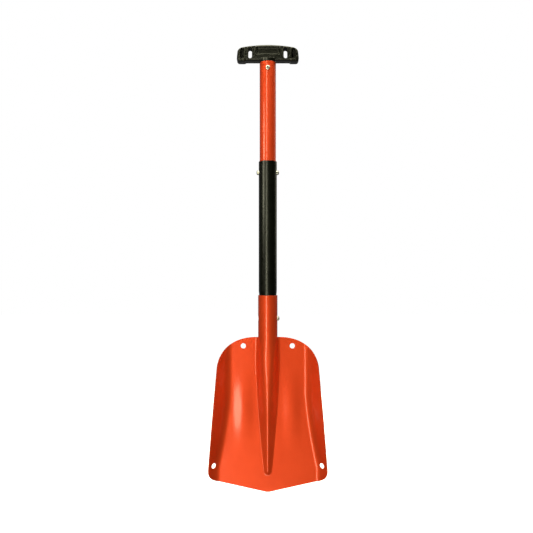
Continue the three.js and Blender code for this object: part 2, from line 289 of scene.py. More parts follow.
def clear_of(points, loop, margin):
    """Which points lie further than margin from a closed loop."""
    far = np.ones(len(points), bool)
    for a, b in zip(loop, np.roll(loop, -1, axis=0)):
        run = b - a
        share = np.clip(((points - a) @ run) / max(run @ run, 1e-9), 0, 1)
        far &= np.linalg.norm(points - (a + share[:, None] * run), axis=1) > margin
    return far


def border_of(chains, rounding):
    """The outline drawn in by its edge's rounding, but not along the stretches that are welded."""
    if len(chains) == 1:
        outline = chains[0][0][:-1]
        return outline + inward(outline, True) * rounding
    border = []
    for points, edged in chains:
        if edged:
            stretch = (points + inward(points, False) * rounding)[:-1]
        else:
            stretch = points[:-1].copy()
            stretch[0][1] += math.copysign(rounding, points[-1][1] - points[0][1])
        border.append(stretch)
    return np.concatenate(border)


def rims_of(chains, holes):
    """The lines that get an edge face, each with its directions into the sheet and if it is a loop."""
    if len(chains) == 1:
        outline = chains[0][0][:-1]
        rims = [(outline, inward(outline, True), True)]
    else:
        rims = [(points, inward(points, False), False) for points, edged in chains if edged]
    return rims + [(loop, inward(loop, True), True) for loop in holes]


def filled(border, holes, grid):
    """The flat pattern's points and triangles, on a grid that stops short of the border and the holes."""
    margin = 0.8
    keep = inside(grid, border) & clear_of(grid, border, margin)
    for loop in holes:
        keep &= ~inside(grid, loop) & clear_of(grid, loop, margin)
    loops = [border] + holes
    flat = np.concatenate(loops + [grid[keep]])
    ties = []
    start = 0
    for loop in loops:
        ties += [(start + i, start + (i + 1) % len(loop)) for i in range(len(loop))]
        start += len(loop)
    made = delaunay_2d_cdt([Vector(p) for p in flat], ties, [], 0, 1e-5)
    flat = np.array([tuple(p) for p in made[0]])
    cells = np.array([c for c in made[2] if len(c) == 3])
    centres = flat[cells].mean(axis=1)
    used = inside(centres, border)
    for loop in holes:
        used &= ~inside(centres, loop)
    cells = cells[used]
    spread = flat[cells]
    turn = np.cross(spread[:, 1] - spread[:, 0], spread[:, 2] - spread[:, 0])
    cells[turn < 0] = cells[turn < 0][:, ::-1]
    return flat, cells


def rim_mask(flat, loops):
    """1 at the flat pattern's points along the border and the holes, where the finish wears first."""
    mask = np.zeros(len(flat))
    for loop in loops:
        gap = np.linalg.norm(flat[:, None, :] - loop[None, ::2, :], axis=2).min(axis=1)
        mask = np.maximum(mask, gap < 0.5)
    return mask


def edge_section(wall, rounding):
    """A rounded edge from front to back: how far in from the rim, how deep, and how far round it faces."""
    angles = [math.radians(a) for a in (0, 30, 60, 90)]
    front = [(rounding * (1 - math.sin(a)), rounding * (1 - math.cos(a)), a) for a in angles]
    return front + [(inset, wall - depth, math.pi - a) for inset, depth, a in reversed(front)]


def edge_row(form, rim, left, inset, depth, angle):
    """One line of an edge face: its points, and the directions that it faces."""
    at = rim + left * inset
    place, normal = placed(form, at, depth)
    further, _ = placed(form, at - left * 0.05, depth)
    out = further - place
    out /= np.linalg.norm(out, axis=1)[:, None]
    return place, normal * math.cos(angle) + out * math.sin(angle)


def strips(rows, closed):
    """The four-sided faces between each row of vertices and the next."""
    faces = []
    for upper, lower in zip(rows, rows[1:]):
        for i in range(len(upper) if closed else len(upper) - 1):
            j = (i + 1) % len(upper)
            faces.append((upper[i], lower[i], lower[j], upper[j]))
    return faces


def welded(points, faces):
    """Which points to keep of those that meet, and the faces between the kept ones."""
    _, kept, same = np.unique(np.round(points / 0.002), axis=0, return_index=True, return_inverse=True)
    same = same.reshape(-1)
    joined = []
    for face in faces:
        left_over = list(dict.fromkeys(int(same[i]) for i in face))
        if len(left_over) > 2:
            joined.append(left_over)
    return kept, joined


def pressed(name, form, chains, holes, grid, wall, material, rounding=0.45):
    """A sheet of metal. chains are the outline's stretches in order, anticlockwise, and say if they
    have an edge face: a stretch without one is welded to the stretch that it meets. holes are
    clockwise loops."""
    border = border_of(chains, rounding)
    rounded_holes = [loop + inward(loop, True) * rounding for loop in holes]
    flat, cells = filled(border, rounded_holes, grid)
    front, normal = placed(form, flat, 0)
    back, _ = placed(form, flat, wall)
    mask = rim_mask(flat, [border] + rounded_holes)
    points = [front, back]
    normals = [normal, -normal]
    edge = [mask, mask]
    faces = [tuple(c) for c in cells]
    faces += [tuple(c[::-1] + len(flat)) for c in cells]
    count = 2 * len(flat)
    for rim, left, closed in rims_of(chains, holes):
        rows = []
        for inset, depth, angle in edge_section(wall, rounding):
            place, facing = edge_row(form, rim, left, inset, depth, angle)
            points.append(place)
            normals.append(facing)
            edge.append(np.ones(len(rim)))
            rows.append(range(count, count + len(rim)))
            count += len(rim)
        faces += strips(rows, closed)
    points = np.concatenate(points)
    kept, faces = welded(points, faces)
    normals = np.concatenate(normals)[kept]
    edge = np.concatenate(edge)[kept]
    return solid(name, points[kept], faces, material, normals, edge)


def grid_of(across_values, up_values):
    s, z = np.meshgrid(across_values, up_values)
    return np.stack([s.ravel(), z.ravel()], axis=1)


def circle(centre, width, height, count=28):
    """A clockwise oval."""
    points = []
    for i in range(count):
        angle = -2 * math.pi * i / count
        points.append((centre[0] + width * math.cos(angle), centre[1] + height * math.sin(angle)))
    return np.array(points)


# ---- tubes ----


def tube(name, radius_at, bottom, top, wall, holes, levels, material):
    """A drawn tube whose radius follows its height. holes are (turn about the shaft, height, radius)."""
    reference = radius_at(np.array([top]))[0]
    half = math.pi * reference

    def form(s, z):
        r = radius_at(z)
        return np.stack([r * np.sin(s / reference), -r * np.cos(s / reference), z], axis=1)

    segments = 96
    around = [lerp(-half, half, i / segments) for i in range(segments + 1)]
    low = np.array([(s, bottom) for s in around])
    high = np.array([(s, top) for s in reversed(around)])
    right = np.array([(half, bottom)] + [(half, z) for z in levels] + [(half, top)])
    left = np.array([(-half, top)] + [(-half, z) for z in reversed(levels)] + [(-half, bottom)])
    chains = [(low, True), (right, False), (high, True), (left, False)]
    loops = []
    for turn, z, radius in holes:
        width = radius * reference / radius_at(np.array([z]))[0]
        loops.append(circle((turn * reference, z), width, radius))
    return pressed(name, form, chains, loops, grid_of(around, levels), wall, material, 0.4)


def upper_tube(material):
    holes = [(side * math.pi / 2, UPPER_BUTTON_Z, BUTTON_HOLE_R) for side in (1, -1)]
    holes.append((0, RIVET_Z, RIVET_HOLE_R))
    levels = [float(z) for z in np.arange(upper_low.z + 4, upper_high.z - 2, 3)]
    piece = tube(
        "upper_shaft_tube", lambda z: UPPER_R + 0 * z, upper_low.z, upper_high.z, UPPER_WALL, holes,
        levels, material,
    )
    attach(piece, "upper_shaft")
    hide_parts("upper_tube")


def middle_tube(material):
    def radius_at(z):
        return lerp(NECK_R, MIDDLE_R, smoothstep((z - NECK_TOP) / SHOULDER))

    holes = [(side * math.pi / 2, UPPER_BUTTON_Z, BUTTON_HOLE_R) for side in (1, -1)]
    holes.append((math.pi / 2, LOWER_BUTTON_Z, BUTTON_HOLE_R))
    shoulder = [float(z) for z in np.arange(NECK_TOP - 1, NECK_TOP + SHOULDER + 1, 1)]
    below = [float(z) for z in np.arange(middle_low.z + 4, NECK_TOP - 2, 3)]
    above = [float(z) for z in np.arange(NECK_TOP + SHOULDER + 3, middle_high.z - 2, 3)]
    piece = tube(
        "middle_shaft_tube", radius_at, middle_low.z, middle_high.z, MIDDLE_WALL, holes,
        below + shoulder + above, material,
    )
    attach(piece, "middle_shaft")
    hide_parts("middle_tube")


# ---- blade ----


def along_rib(z):
    """How far down the rib a height is, 0 at the blade's top and 1 at the rib's nose."""
    return np.clip((BLADE_TOP - z) / (BLADE_TOP - RIB_NOSE_Z), 0, 1)


def across_blade(s, z):
    """How far across the blade an unrolled width lies, the rib's flanks being drawn in near its top."""
    width = np.abs(s)
    rolled = SOCKET_R * np.sin(np.minimum(width, SIDE) / SOCKET_R)
    turn = np.clip(width - SIDE, 0, FILLET) / BACKSET
    steep = rolled + BACKSET * (1 - np.cos(turn)) + np.maximum(0, width - SIDE - FILLET)
    even = np.minimum(width, SIDE + FILLET) * RIB_FOOT / (SIDE + FILLET)
    even = even + np.maximum(0, width - SIDE - FILLET)
    return np.sign(s) * lerp(steep, even, smoothstep(along_rib(z) / 0.3))


def unrolled(x):
    """The unrolled width of a distance across the blade, below the rib's steep top."""
    width = min(abs(x), RIB_FOOT) * (SIDE + FILLET) / RIB_FOOT + max(0, abs(x) - RIB_FOOT)
    return math.copysign(width, x)


def sheet_y(z):
    """The flat middle of the sheet: a plane that leans forward and then curves forward too."""
    below = np.maximum(0, BEND_FROM - z) / (BEND_FROM - BLADE_TIP)
    return BACKSET - LEAN * np.maximum(0, BLADE_TOP - z) - DISH * below**2


def half_tube(u):
    """Height of the socket's front half with its foot curved out into the sheet, over its half width."""
    across = u * RIB_FOOT
    tube_part = BACKSET + np.sqrt(np.maximum(0, SOCKET_R**2 - across**2))
    foot = BACKSET - np.sqrt(np.maximum(0, BACKSET**2 - np.maximum(0, RIB_FOOT - across) ** 2))
    return np.where(across < SOCKET_R, tube_part, foot) / RIB_FOOT


def ridge(u, t):
    """Height of a ridge with straight flanks, rounded less at its crest the further down it is."""
    crest = lerp(0.30, 0.10, t)
    fall = (np.sqrt(u * u + crest**2) - crest) / (np.sqrt(1 + crest**2) - crest)
    height = (1 - fall + np.sqrt((1 - fall) ** 2 + RIDGE_ROUNDING)) / 2
    return height - lerp(math.sqrt(RIDGE_ROUNDING) / 2, 0, 1 - fall)


def rib_height(x, z):
    """Height of the hollow rib in front of the sheet, round like the socket above and sharper below."""
    t = along_rib(z)
    width = lerp(*RIB_WIDTH, np.clip((t - 0.2) / 0.8, 0, 1) ** 1.5)
    past_nose = np.maximum(0, RIB_NOSE_Z - z)
    u = np.minimum(1, np.hypot(x, past_nose) / (width / 2))
    wave = (1 + np.cos(math.pi * u)) / 2
    lower = lerp(1 - smoothstep(u * u), lerp(ridge(u, t), wave, 0.15), smoothstep(t / 0.75))
    height = RIB_NOSE_HEIGHT + (RIB_FOOT - RIB_NOSE_HEIGHT) * (1 - t) ** 1.15
    return height * lerp(half_tube(u), lower, smoothstep(t / 0.28))


def wing_height(x, z):
    """Rise of a wing over the sheet at the side of the blade."""
    widening = np.clip((WING_SPREAD_FROM - z) / (WING_SPREAD_FROM - CORNER_Z), 0, 1) ** 1.5
    out = np.abs(x) - (WING_FROM + WING_SPREAD * widening)
    bend = np.clip(out, 0, WING_BEND)
    return WING_SLOPE * (bend**2 / (2 * WING_BEND) + np.maximum(0, out - WING_BEND))


def panel_swell(x, z):
    """The shallow swell of the sheet on each side of the rib."""
    share = np.clip((np.abs(x) - SWELL_FROM) / (WING_FROM - SWELL_FROM), 0, 1)
    height = smoothstep((z - SWELL_LOW) / SWELL_FADE) * smoothstep((SWELL_HIGH - z) / SWELL_FADE)
    return SWELL * np.sin(math.pi * share) ** 2 * height


def blade_form(s, z):
    """The front of the sheet: rolled into the socket above the slit, and pressed into the blade below."""
    x = across_blade(s, z)
    front = sheet_y(z) - rib_height(x, z) - wing_height(x, z) - panel_swell(x, z)
    sheet = np.stack([x, front, z], axis=1)
    turn = s / SOCKET_R
    rolled = np.stack([SOCKET_R * np.sin(turn), -SOCKET_R * np.cos(turn), z], axis=1)
    return np.where((z > BLADE_TOP + SLIT / 2)[:, None], rolled, sheet)


def blade_edge():
    """Half of the blade's unrolled outline, from the tip round the corner and shoulder to the slit."""
    def at(x, z):
        return (unrolled(x), z)

    def edge_at(x):
        return at(x, BLADE_TIP + EDGE_SLOPE * x)

    tip_z = BLADE_TIP + EDGE_SLOPE * TIP_TURN / 2
    low = BLADE_TIP + EDGE_SLOPE * CORNER_X + 1
    half = [np.array((0.0, tip_z))]
    half += line(half[-1], at(TIP_TURN / 2, tip_z), 2)
    half += line(half[-1], edge_at(TIP_TURN), 2)
    half += line(half[-1], edge_at(RIB_FOOT), 2.4)
    half += line(half[-1], edge_at(CORNER_X - CORNER_TURN), 2.4)
    corner = (at(CORNER_X - 3, low), at(CORNER_X + 0.8, CORNER_Z - 9), at(CORNER_X, CORNER_Z))
    half += bezier(half[-1], *corner, 14)
    half += line(half[-1], at(SHOULDER_X, SHOULDER_Z), 2.4)
    shoulder = (at(88.5, BLADE_TOP - 21), at(62, BLADE_TOP), at(RIB_FOOT, BLADE_TOP))
    half += bezier(half[-1], *shoulder, 44)
    half += line(half[-1], (SIDE, BLADE_TOP), 1.5)
    return half


def blade_outline():
    """The unrolled outline, anticlockwise: the blade, the slits above its shoulders, and the socket."""
    half = blade_edge()
    half += arc((SIDE, BLADE_TOP + SLIT / 2), SLIT / 2, 270, 90, 6)
    socket_foot = ((SIDE + 8, BLADE_TOP + SLIT), (SEAM - 12, BLADE_TOP + 7), (SEAM, BLADE_TOP + 8))
    half += bezier(half[-1], *socket_foot, 18)
    half += line(half[-1], (SEAM, SOCKET_TOP), 3)
    half += line(half[-1], (0, SOCKET_TOP), 1.6)
    mirrored = [np.array((-p[0], p[1])) for p in reversed(half[1:-1])]
    return np.array(half + mirrored)


def lashing_hole(x, z):
    """A round hole square to the sheet where it stands, as an unrolled loop."""
    spot = np.array([(unrolled(x), z)])
    _, normal = placed(blade_form, spot, 0)
    out = Vector(normal[0])
    level = out.cross(Vector((0, 0, 1))).normalized()
    steep = out.cross(level).normalized()
    points = []
    for i in range(28):
        angle = 2 * math.pi * i / 28
        reach = LASHING_HOLE_R * (level * math.cos(angle) + steep * math.sin(angle))
        points.append((unrolled(x + reach.x), z + reach.z))
    loop = np.array(points)
    area = (loop[:, 0] * np.roll(loop[:, 1], -1) - np.roll(loop[:, 0], -1) * loop[:, 1]).sum()
    return loop if area < 0 else loop[::-1]


def blade_grid():
    """Points for the sheet's triangles, closer together across the rib than across the wings."""
    near = list(np.arange(0, 35, 1.4))
    far = list(np.arange(36.2, unrolled(CORNER_X), 2.6))
    columns = [-s for s in reversed((near + far)[1:])] + near + far
    rows = list(np.arange(BLADE_TIP, BLADE_TOP, 2.4))
    socket_columns = list(np.arange(-SEAM, SEAM, 1.6))
    socket_rows = list(np.arange(BLADE_TOP + 0.6, SOCKET_TOP, 3))
    return np.concatenate([grid_of(columns, rows), grid_of(socket_columns, socket_rows)])


def blade(material):
    outline = blade_outline()
    chains = [(np.vstack([outline, outline[:1]]), True)]
    holes = [lashing_hole(side * x, z) for x, z in LASHING_HOLES for side in (1, -1)]
    for side in (1, -1):
        holes.append(circle((side * SIDE, LOWER_BUTTON_Z), BUTTON_HOLE_R, BUTTON_HOLE_R))
    piece = pressed("blade_sheet", blade_form, chains, holes, blade_grid(), SHEET, material)
    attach(piece, "blade")
    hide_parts("blade")


# ---- turned pieces ----


def rings(rows, segments):
    """The faces between rows of vertices about an axis, a row of one vertex being a point on it."""
    faces = []
    for lower, upper in zip(rows, rows[1:]):
        for i in range(segments):
            j = (i + 1) % segments
            ring = [lower[i % len(lower)], lower[j % len(lower)]]
            ring += [upper[j % len(upper)], upper[i % len(upper)]]
            faces.append(list(dict.fromkeys(ring)))
    return faces


def turned(name, profile, centre, along, material, segments=48):
    """A body turned about the given axis, from [radius, distance along the axis] pairs."""
    axis = Vector(along)
    side = Vector((0, 0, 1))
    up = axis.cross(side)
    points = []
    rows = []
    for radius, reach in profile:
        count = 1 if radius == 0 else segments
        rows.append(range(len(points), len(points) + count))
        for i in range(count):
            angle = 2 * math.pi * i / segments
            out = side * math.cos(angle) + up * math.sin(angle)
            points.append(Vector(centre) + axis * reach + radius * out)
    if len(rows[0]) > 1:
        rows.append(rows[0])
    piece = solid(name, points, rings(rows, segments), material)
    face_out(piece)
    mark_edges(piece)
    return sharpen(piece, 40)


def mark_edges(piece, gain=2.5):
    """Sets the worn-edge mask from how far each vertex stands out from its neighbours."""
    sheet = bmesh.new()
    sheet.from_mesh(piece.data)
    sheet.normal_update()
    values = []
    for vertex in sheet.verts:
        falls = []
        for link in vertex.link_edges:
            away = link.other_vert(vertex).co - vertex.co
            if away.length > 1e-9:
                falls.append(-vertex.normal.dot(away.normalized()))
        values.append(min(1, max(0, gain * sum(falls) / max(1, len(falls)))))
    sheet.free()
    mask = piece.data.attributes.get("edge") or piece.data.attributes.new("edge", "FLOAT", "POINT")
    mask.data.foreach_set("value", values)


def snap_button(node, side, material):
    """A domed pin with a wider foot, which bears on the inside of the tube."""
    low, high = corners(node)
    flange = 0.7
    radius = (high.y - low.y) / 2 - flange
    foot, tip = sorted((abs(low.x), abs(high.x)))
    profile = [
        (0, foot), (radius + 0.45, foot), (radius + flange, foot + 0.2), (radius + flange, foot + 0.6),
        (radius + 0.5, foot + 0.8), (radius, foot + 0.9),
    ]
    dome = 2.1
    steps = 12
    for i in range(steps):
        turn = math.pi / 2 * i / steps
        profile.append((radius * math.cos(turn) ** 0.8, tip - dome + dome * math.sin(turn)))
    profile.append((0, tip))
    return turned(node + "_pin", profile, (0, 0, middle(node).z), (side, 0, 0), material)


def snap_buttons(material):
    """The three buttons. The upper two are drawn in while the upper tube slides."""
    for node, body, side in (
        ("upper_button_left", "upper_button_left", -1),
        ("upper_button_right", "upper_button_right", 1),
        ("lower_button", "lower_button", 1),
    ):
        piece = snap_button(node, side, material)
        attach(piece, body)
        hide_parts(node)
        if node != "lower_button":
            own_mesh(piece)


def handle_rivet(bright, dark):
    """A blind rivet: a ring-shaped head, a shank with its bulge inside, and the broken pin in its bore."""
    seat = UPPER_R + 0.2
    wall_inside = STEM_R - STEM_WALL
    shank = RIVET_HOLE_R - 0.3
    bore = 1.3
    body = [
        (bore, wall_inside - 3.3), (shank + 0.6, wall_inside - 3), (shank + 0.9, wall_inside - 2.4),
        (shank + 0.9, wall_inside - 1.4), (shank + 0.5, wall_inside - 1), (shank, wall_inside - 0.9),
        (shank, seat), (3.7, seat), (4, seat + 0.15), (4, seat + 0.4), (3.75, seat + 0.75),
        (3.2, seat + 1.05), (2.5, seat + 1.28), (1.9, seat + 1.38), (1.6, seat + 1.38), (bore, seat + 1.2),
    ]
    pin = bore - 0.12
    mandrel = [
        (0, wall_inside - 6), (1.4, wall_inside - 5.7), (1.9, wall_inside - 5.1), (1.9, wall_inside - 3.6),
        (pin, wall_inside - 3.45), (pin, seat + 0.35), (pin - 0.25, seat + 0.6), (0, seat + 0.5),
    ]
    head = turned("handle_rivet_head", body, (0, 0, RIVET_Z), (0, -1, 0), bright)
    core = turned("handle_rivet_pin", mandrel, (0, 0, RIVET_Z), (0, -1, 0), dark, 32)
    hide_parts("handle_rivet")
    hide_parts("handle_rivet_mandrel")
    for piece in (head, core):
        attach(piece, "upper_shaft")


# ---- clip springs ----


def spring_leg(name, path, material):
    """A strip of spring steel with rounded edges that follows a path in X and Z."""
    section = rounded_rectangle((0, 0), STRIP, STRIP_WIDTH, 0.18, 3)
    points = []
    rows = []
    for i, at in enumerate(path):
        before = np.array(path[max(0, i - 1)])
        after = np.array(path[min(len(path) - 1, i + 1)])
        along = (after - before) / np.linalg.norm(after - before)
        rows.append(range(len(points), len(points) + len(section)))
        for out, wide in section:
            points.append((at[0] + along[1] * out, wide, at[1] - along[0] * out))
    faces = [list(reversed(rows[0])), list(rows[-1])]
    for lower, upper in zip(rows, rows[1:]):
        for k in range(len(section)):
            j = (k + 1) % len(section)
            faces.append((lower[k], lower[j], upper[j], upper[k]))
    piece = solid(name, points, faces, material)
    face_out(piece)
    mark_edges(piece)
    return sharpen(piece, 50)


def clip_path(node, side, button_z):
    """Half a hairpin, from the middle of its bend down one leg."""
    low, high = corners(node)
    leg = (high.x if side > 0 else -low.x) - STRIP / 2
    bend_r = 7.5
    bend_z = high.z - STRIP / 2 - bend_r
    path = [np.array((0.0, bend_z + bend_r))]
    path += [np.array((side * x, z)) for x, z in arc((0, bend_z), bend_r, 90, 0, 14)]
    legs = line((side * bend_r, bend_z), (side * leg, button_z + 8), 2)
    return path + legs + line(legs[-1], (side * leg, button_z - 8), 2)


def clip_springs(material):
    """Both hairpin springs, leg by leg. A leg that carries a button is left where it is drawn, tied to no
    body; the lower clip's other leg rides on the middle shaft.
    """
    left = ("upper_shaft", "upper_button_left")
    right = ("upper_shaft", "upper_button_right")
    lower = ("middle_shaft", "lower_button")
    for node, name, side, button_z, bodies in (
        ("upper_clip_spring", "upper_clip_leg_left", -1, UPPER_BUTTON_Z, left),
        ("upper_clip_spring", "upper_clip_leg_right", 1, UPPER_BUTTON_Z, right),
        ("lower_clip_spring", "lower_clip_leg_left", -1, LOWER_BUTTON_Z, None),
        ("lower_clip_spring", "lower_clip_leg_right", 1, LOWER_BUTTON_Z, lower),
    ):
        path = clip_path(node, side, button_z)
        piece = spring_leg(name, path, material)
        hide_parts(node)
        if bodies:
            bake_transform(piece)
        else:
            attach(piece, "middle_shaft")


# ---- T handle ----


def prism(outline, front, back):
    """A closed bmesh that runs through the depths from front to back."""
    made = bmesh.new()
    low = [made.verts.new((x, front, z)) for x, z in outline]
    high = [made.verts.new((x, back, z)) for x, z in outline]
    made.faces.new(low)
    made.faces.new(list(reversed(high)))
    for i in range(len(outline)):
        j = (i + 1) % len(outline)
        made.faces.new((low[i], high[i], high[j], low[j]))
    bmesh.ops.recalc_face_normals(made, faces=made.faces)
    return made


def rounded_block(x, z, width, height, corner, front, back):
    """A block through the depths from front to back, with its corners rounded as seen from the front."""
    return prism(rounded_rectangle((x, z), width, height, corner, 6), front, back)


def scratch_object(name, made):
    mesh = bpy.data.meshes.new(name)
    made.to_mesh(mesh)
    made.free()
    thing = bpy.data.objects.new(name, mesh)
    bpy.context.scene.collection.objects.link(thing)
    return thing


def carve(base, tools, operation="DIFFERENCE"):
    """Cuts the tools out of the base, or joins them to it, and clears the tools away."""
    for tool in tools:
        change = base.modifiers.new("carve", "BOOLEAN")
        change.operation = operation
        change.solver = "EXACT"
        change.object = tool
    applied(base)
    for tool in tools:
        bpy.data.objects.remove(tool)


def applied(piece):
    """Makes the modifiers' result the piece's own mesh."""
    graph = bpy.context.evaluated_depsgraph_get()
    graph.update()
    mesh = bpy.data.meshes.new_from_object(piece.evaluated_get(graph))
    piece.modifiers.clear()
    piece.data = mesh


def grip_outline():
    """The T's front outline: an arched top, and an end block hanging a little lower on each side."""
    foot = GRIP_BOTTOM - 1.5
    shoulder = GRIP_TOP - 6
    inner = GRIP_HALF - GRIP_END
    half = [np.array((0.0, GRIP_TOP))]
    half += bezier(half[-1], (15, GRIP_TOP), (32, GRIP_TOP - 1.3), (GRIP_HALF - 11, shoulder + 2), 18)
    half += bezier(half[-1], (GRIP_HALF - 5, shoulder + 0.8), (GRIP_HALF - 1.7, shoulder - 2),
                   (GRIP_HALF - 1, shoulder - 7), 8)
    half += line(half[-1], (GRIP_HALF, foot + 6), 4)
    half += bezier(half[-1], (GRIP_HALF, foot + 2), (GRIP_HALF - 2, foot), (GRIP_HALF - 6, foot), 8)
    half += line(half[-1], (inner + 2, foot), 3)
    half += line(half[-1], (inner, GRIP_BOTTOM), 2)
    half += line(half[-1], (0, GRIP_BOTTOM), 4)
    return half + [np.array((-p[0], p[1])) for p in reversed(half[1:-1])]


def grip_bar():
    """The bar, its long edges rounded by outlines that shrink towards its front and back."""
    outline = np.array(grip_outline())[::-1]
    left = inward(outline, True)
    levels = []
    steps = 6
    for step in range(steps + 1):
        turn = math.pi / 2 * step / steps
        inset = GRIP_ROUNDING * (1 - math.sin(turn))
        levels.append((inset, GRIP_FACE - GRIP_ROUNDING * (1 - math.cos(turn))))
    stations = [(inset, -y) for inset, y in levels] + [(inset, y) for inset, y in reversed(levels)]
    made = bmesh.new()
    rows = []
    for inset, y in stations:
        at = outline + left * inset
        rows.append([made.verts.new((x, y, z)) for x, z in at])
    made.faces.new(rows[0])
    made.faces.new(list(reversed(rows[-1])))
    for lower, upper in zip(rows, rows[1:]):
        for i in range(len(outline)):
            j = (i + 1) % len(outline)
            made.faces.new((lower[i], lower[j], upper[j], upper[i]))
    bmesh.ops.recalc_face_normals(made, faces=made.faces)
    return scratch_object("grip_bar", made)


def turned_block(profile, name, segments=96):
    """A closed body turned about the shaft's axis, its profile starting and ending on the axis."""
    made = bmesh.new()
    rows = []
    for radius, z in profile:
        count = 1 if radius == 0 else segments
        angles = [2 * math.pi * i / segments for i in range(count)]
        rows.append([made.verts.new((radius * math.cos(a), radius * math.sin(a), z)) for a in angles])
    for ring in rings(rows, segments):
        made.faces.new(ring)
    bmesh.ops.recalc_face_normals(made, faces=made.faces)
    return scratch_object(name, made)


def v_valley(x, face):
    """The valley between two rounded tiles of the handle's face, widest at the top edge."""
    top = GRIP_TOP + 2
    outline = [np.array((x - 4.6, top)), np.array((x, GRIP_MIDDLE - 1)), np.array((x + 4.6, top))]
    return prism(outline, face * (GRIP_FACE - 3.2), face * (GRIP_FACE + 3))


def slit(x, face):
    """The narrow groove down the bottom of a valley."""
    return rounded_block(x, GRIP_MIDDLE + 2, 2, 17, 0.9, face * (GRIP_FACE - 2.4), face * THROUGH)


def pocket(x, face):
    return rounded_block(x, GRIP_MIDDLE - 1.5, 7.5, 19, 2, face * (GRIP_FACE - 9.4), face * THROUGH)


def grip_cuts():
    """What is cut out of the bar: windows, pockets and grooves on both sides, and the front's panel."""
    cuts = []
    for side in (1, -1):
        window = (side * WINDOW_X, GRIP_MIDDLE - 0.6, 7, 20.5, 3.4)
        cuts.append(rounded_block(*window, -THROUGH, THROUGH))
        for face in (-1, 1):
            cuts.append(pocket(side * POCKET_X, face))
            for x in VALLEY_XS:
                cuts.append(v_valley(side * x, face))
                cuts.append(slit(side * x, face))
    cuts.append(rounded_block(0, PANEL_Z, 44, 14.5, 3, -GRIP_FACE + 2.8, -THROUGH))
    return [scratch_object(f"cut_{i}", made) for i, made in enumerate(cuts)]


def handle_stem():
    """The stem that plugs into the upper tube, with its hollow end and its collar under the grip."""
    bore = STEM_R - STEM_WALL
    foot = handle_low.z
    neck = GRIP_BOTTOM + 4
    profile = [
        (0, COLLAR_Z - 8), (bore, COLLAR_Z - 9), (bore, foot), (STEM_R - 0.8, foot), (STEM_R, foot + 1.5),
        (STEM_R, COLLAR_Z), (UPPER_R, COLLAR_Z), (UPPER_R + 1.5, neck), (0, neck),
    ]
    return turned_block(profile, "grip_stem")


def panel_lip():
    """The raised frame on the floor of the front's panel."""
    lip = rounded_block(0, PANEL_Z, 41, 11.8, 2.2, -GRIP_FACE + 4, -GRIP_FACE + 1.7)
    rim = scratch_object("panel_lip", lip)
    hollow = rounded_block(0, PANEL_Z, 38.6, 9.4, 1.4, -GRIP_FACE + 2.9, -THROUGH)
    carve(rim, [scratch_object("panel_floor", hollow)])
    return rim


def moulded(bar):
    """Turns the carved bar into metres and into one skin with softened edges, as from a mould."""
    bar.scale = (MM, MM, MM)
    bpy.context.view_layer.update()
    bar.data.transform(bar.matrix_world)
    bar.scale = (1, 1, 1)
    fuse = bar.modifiers.new("fuse", "REMESH")
    fuse.mode = "VOXEL"
    fuse.voxel_size = 0.42 * MM
    soften = bar.modifiers.new("soften", "SMOOTH")
    soften.factor = 0.5
    soften.iterations = 3
    applied(bar)
    mark_edges(bar, 6)
    thin = bar.modifiers.new("thin", "DECIMATE")
    thin.ratio = 0.3
    applied(bar)


def t_handle(material):
    bar = grip_bar()
    carve(bar, grip_cuts())
    stem = handle_stem()
    carve(bar, [stem, panel_lip()], "UNION")
    hole = rounded_block(0, RIVET_Z, 2 * RIVET_HOLE_R, 2 * RIVET_HOLE_R, RIVET_HOLE_R - 0.01, -5, -THROUGH)
    carve(bar, [scratch_object("rivet_hole", hole)])
    bar.name = "t_handle_moulding"
    moulded(bar)
    bar.data.materials.clear()
    bar.data.materials.append(material)
    bar.data.polygons.foreach_set("use_smooth", [True] * len(bar.data.polygons))
    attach(bar, "upper_shaft")
    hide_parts("t_handle")


# ---- materials ----


def shader(name):
    """A fresh material, its node tree, its main shader and its coordinates in the object's frame."""
    material = bpy.data.materials.new(name)
    material.use_nodes = True
    tree = material.node_tree
    return material, tree, tree.nodes["Principled BSDF"], add(tree, "TexCoord", out="Object")


def add(tree, kind, inputs=None, out=0, **settings):
    """Adds a node, fills its inputs with values or other nodes' outputs, and returns an output."""
    node = tree.nodes.new("ShaderNode" + kind)
    for key, value in settings.items():
        setattr(node, key, value)
    for key, value in (inputs or {}).items():
        if isinstance(value, bpy.types.NodeSocket):
            tree.links.new(value, node.inputs[key])
        else:
            node.inputs[key].default_value = value
    return node.outputs[out]


def noise(tree, place, scale, detail=3, roughness=0.55):
    inputs = {"Vector": place, "Scale": scale, "Detail": detail, "Roughness": roughness}
    return add(tree, "TexNoise", inputs)


def stretched(tree, place, scale):
    return add(tree, "VectorMath", {0: place, 1: scale}, operation="MULTIPLY")


def remap(tree, value, low, high, to_low=0.0, to_high=1.0):
    inputs = {"Value": value, "From Min": low, "From Max": high, "To Min": to_low, "To Max": to_high}
    return add(tree, "MapRange", inputs)


def blended(tree, share, first, second):
    """A colour between two colours."""
    return add(tree, "Mix", {"Factor": share, 6: first, 7: second}, out=2, data_type="RGBA")


def times(tree, first, second):
    return add(tree, "Math", {0: first, 1: second}, operation="MULTIPLY")


def plus(tree, first, second):
    return add(tree, "Math", {0: first, 1: second}, operation="ADD")


def bump(tree, height, strength, distance, below=None):
    inputs = {"Height": height, "Strength": strength, "Distance": distance}
    if below is not None:
        inputs["Normal"] = below
    return add(tree, "Bump", inputs)


def feed(tree, main, **inputs):
    """Sets the main shader's inputs, an underscore standing for the space in an input's name."""
    for key, value in inputs.items():
        socket = main.inputs[key.replace("_", " ")]
        if isinstance(value, bpy.types.NodeSocket):
            tree.links.new(value, socket)
        else:
            socket.default_value = value


